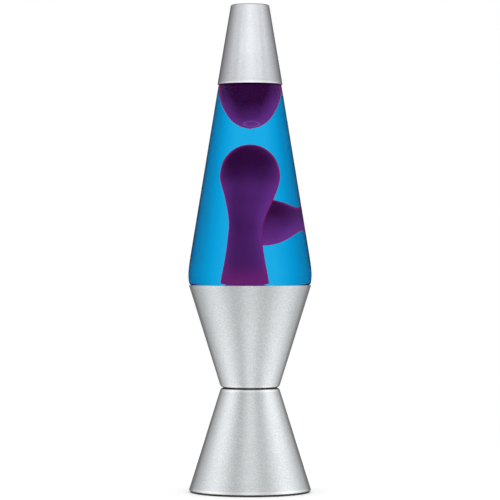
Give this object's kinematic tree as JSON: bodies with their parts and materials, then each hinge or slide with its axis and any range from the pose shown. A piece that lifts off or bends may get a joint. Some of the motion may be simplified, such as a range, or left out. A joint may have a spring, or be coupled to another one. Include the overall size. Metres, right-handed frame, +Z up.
{
  "type": "lava lamp",
  "caption": "Desk lava lamp: silver hourglass base with a bulb, a tapered glass globe of blue liquid and purple wax, and a silver lift-off cap.",
  "frame": {"origin": "centre of the lamp's underside, on the surface it stands on", "axes": "+Z up along the lamp's axis, -Y towards the front, +Y towards the cord outlet, +X to the right seen from the front"},
  "size_m": [0.0932, 0.0932, 0.3683],
  "materials": {
    "silver_metal": "satin silver with a fine sparkle",
    "clear_glass": "clear polished glass",
    "blue_liquid": "clear blue water-based liquid",
    "purple_wax": "soft translucent purple wax",
    "coil_steel": "bright drawn wire",
    "crown_metal": "gold lacquered tinplate",
    "crown_liner": "soft white seal",
    "black_phenolic": "moulded black phenolic",
    "red_fibre": "vulcanised fibre",
    "brass": "stamped brass",
    "red_insulation": "wire insulation",
    "white_insulation": "wire insulation",
    "blue_crimp": "nylon crimp sleeve",
    "bulb_metal": "nickel plated",
    "black_glass": "black glass insulator",
    "solder": "dull solder",
    "bulb_glass": "thin clear glass",
    "wire_metal": "nickel wire",
    "tungsten": "coiled tungsten",
    "black_rubber": "moulded rubber",
    "black_cover": "moulded cover, fine texture",
    "foam": "non-slip foam"
  },
  "bodies": {
    "base": {"foot_pad": "foam", "bottom_cover": "black_cover", "lower_cone": "silver_metal", "upper_cone": "silver_metal", "cord_grommet": "black_rubber", "socket_body": "black_phenolic", "socket_washer": "red_fibre", "socket_ring_nut": "black_phenolic", "socket_shell": "brass", "socket_centre_contact": "brass", "terminal_live": "brass", "terminal_neutral": "brass", "lead_live": "red_insulation", "lead_neutral": "white_insulation", "crimp_live": "blue_crimp", "crimp_neutral": "blue_crimp"},
    "bulb": {"bulb_screw_shell": "bulb_metal", "bulb_insulator": "black_glass", "bulb_tip_contact": "solder", "bulb_glass": "bulb_glass", "bulb_stem": "bulb_glass", "bulb_support_wire_a": "wire_metal", "bulb_support_wire_b": "wire_metal", "bulb_filament": "tungsten"},
    "globe": {"globe_glass": "clear_glass", "liquid": "blue_liquid", "wax_column": "purple_wax", "wax_side_blob": "purple_wax", "wax_top_blob": "purple_wax", "heating_coil": "coil_steel", "crown_liner": "crown_liner", "crown_closure": "crown_metal"},
    "cap": {"cap": "silver_metal"}
  },
  "joints": [
    {"name": "bulb_unscrew", "type": "slide", "parent": "base", "child": "bulb", "axis": [0, 0, 1], "range_m": [0, 0.01128]},
    {"name": "globe_lift", "type": "slide", "parent": "base", "child": "globe", "axis": [0, 0, 1], "range_m": [0, 0.09]},
    {"name": "cap_lift", "type": "slide", "parent": "globe", "child": "cap", "axis": [0, 0, 1], "range_m": [0, 0.06]}
  ]
}
